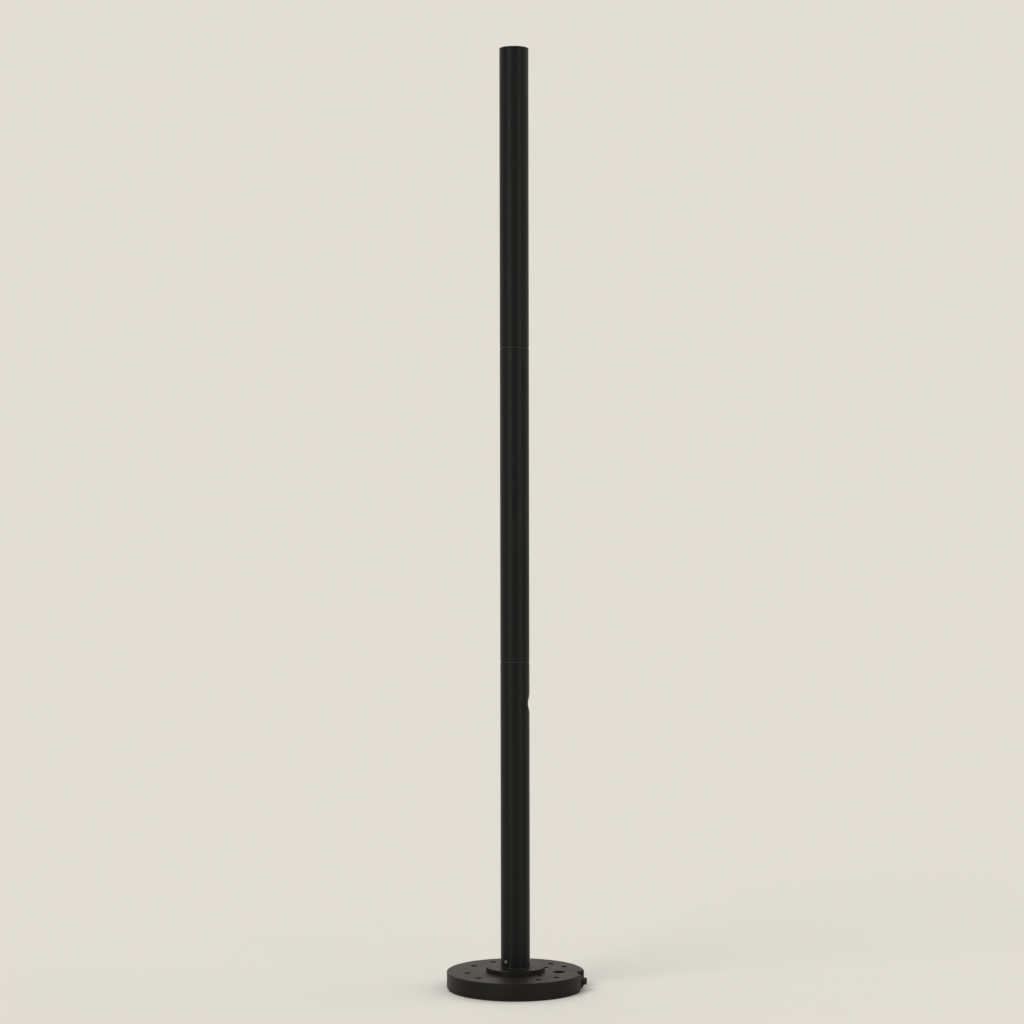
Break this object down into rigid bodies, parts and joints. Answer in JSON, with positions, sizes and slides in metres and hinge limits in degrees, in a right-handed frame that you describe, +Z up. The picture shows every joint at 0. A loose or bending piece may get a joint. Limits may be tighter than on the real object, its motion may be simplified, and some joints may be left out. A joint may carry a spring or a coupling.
{
  "type": "outdoor floor lamp",
  "caption": "Slim round pole lamp on a heavy round base plate, with recessed light notches in pole sections that turn",
  "frame": {"origin": "on the ground, where the pole's axis meets the underside of the floor pad", "axes": "+Z up along the pole, +X from the pole towards the cable gland in the rim of the base; at rest the lights look roughly towards +Y"},
  "size_m": [0.224, 0.219, 1.5],
  "materials": {
    "powder_coated_steel": "satin black fine-texture powder coat on steel",
    "powder_coated_aluminium": "satin black fine-texture powder coat on aluminium",
    "anodised_black": "black anodised aluminium",
    "stainless": "plain stainless steel",
    "black_steel": "black oxide steel",
    "cover_steel": "zinc-plated sheet",
    "black_rubber": "matt moulded rubber",
    "lens_glass": "clear moulded glass",
    "bright_aluminium": "bright spun aluminium",
    "board_white": "white solder mask on an aluminium core",
    "led_phosphor": "warm white LED phosphor under silicone",
    "grey_nylon": "moulded nylon",
    "driver_case": "plain extruded aluminium"
  },
  "bodies": {
    "base": {"floor_pad": "black_rubber", "base_plate": "powder_coated_steel", "base_cover_plate": "cover_steel", "cover_plate_screws": "stainless", "pole_flange": "powder_coated_steel", "flange_screws": "black_steel", "gland_body": "anodised_black", "gland_seal": "black_rubber", "gland_nut": "anodised_black", "terminal_block": "grey_nylon", "base_lead": "black_rubber", "lower_slip_washer": "grey_nylon", "lower_swivel_seal": "black_rubber"},
    "lower_section": {"lower_tube": "powder_coated_aluminium", "lower_friction_screws": "stainless", "lower_stop_screw": "black_steel", "driver": "driver_case", "driver_carrier": "grey_nylon", "driver_lead": "black_rubber", "lower_feed_cable": "black_rubber", "lower_lamp_housing": "powder_coated_aluminium", "lower_housing_screws": "stainless", "lower_lens_ring": "anodised_black", "lower_lens": "lens_glass", "lower_lens_gasket": "black_rubber", "lower_reflector": "bright_aluminium", "lower_led_board": "board_white", "lower_led": "led_phosphor", "middle_spigot": "powder_coated_aluminium", "middle_slip_washer": "grey_nylon", "middle_swivel_seal": "black_rubber"},
    "middle_section": {"middle_tube": "powder_coated_aluminium", "middle_friction_screws": "stainless", "middle_stop_screw": "black_steel", "middle_feed_cable": "black_rubber", "middle_lamp_housing": "powder_coated_aluminium", "middle_housing_screws": "stainless", "middle_lens_ring": "anodised_black", "middle_lens": "lens_glass", "middle_lens_gasket": "black_rubber", "middle_reflector": "bright_aluminium", "middle_led_board": "board_white", "middle_led": "led_phosphor", "top_spigot": "powder_coated_aluminium", "top_slip_washer": "grey_nylon", "top_swivel_seal": "black_rubber"},
    "top_section": {"top_tube": "powder_coated_aluminium", "top_friction_screws": "stainless", "top_stop_screw": "black_steel", "top_feed_cable": "black_rubber", "top_lamp_housing": "powder_coated_aluminium", "top_housing_screws": "stainless", "top_lens_ring": "anodised_black", "top_lens": "lens_glass", "top_lens_gasket": "black_rubber", "top_reflector": "bright_aluminium", "top_led_board": "board_white", "top_led": "led_phosphor", "top_cap": "powder_coated_aluminium", "top_cap_seal": "black_rubber"}
  },
  "joints": [
    {"name": "lower_turn", "type": "hinge", "parent": "base", "child": "lower_section", "pos_m": [0, 0, 0.035], "axis": [0, 0, 1], "range_deg": [-136, 190]},
    {"name": "middle_turn", "type": "hinge", "parent": "lower_section", "child": "middle_section", "pos_m": [0, 0, 0.521], "axis": [0, 0, 1], "range_deg": [-198, 128]},
    {"name": "top_turn", "type": "hinge", "parent": "middle_section", "child": "top_section", "pos_m": [0, 0, 1.021], "axis": [0, 0, 1], "range_deg": [-148, 178]}
  ]
}
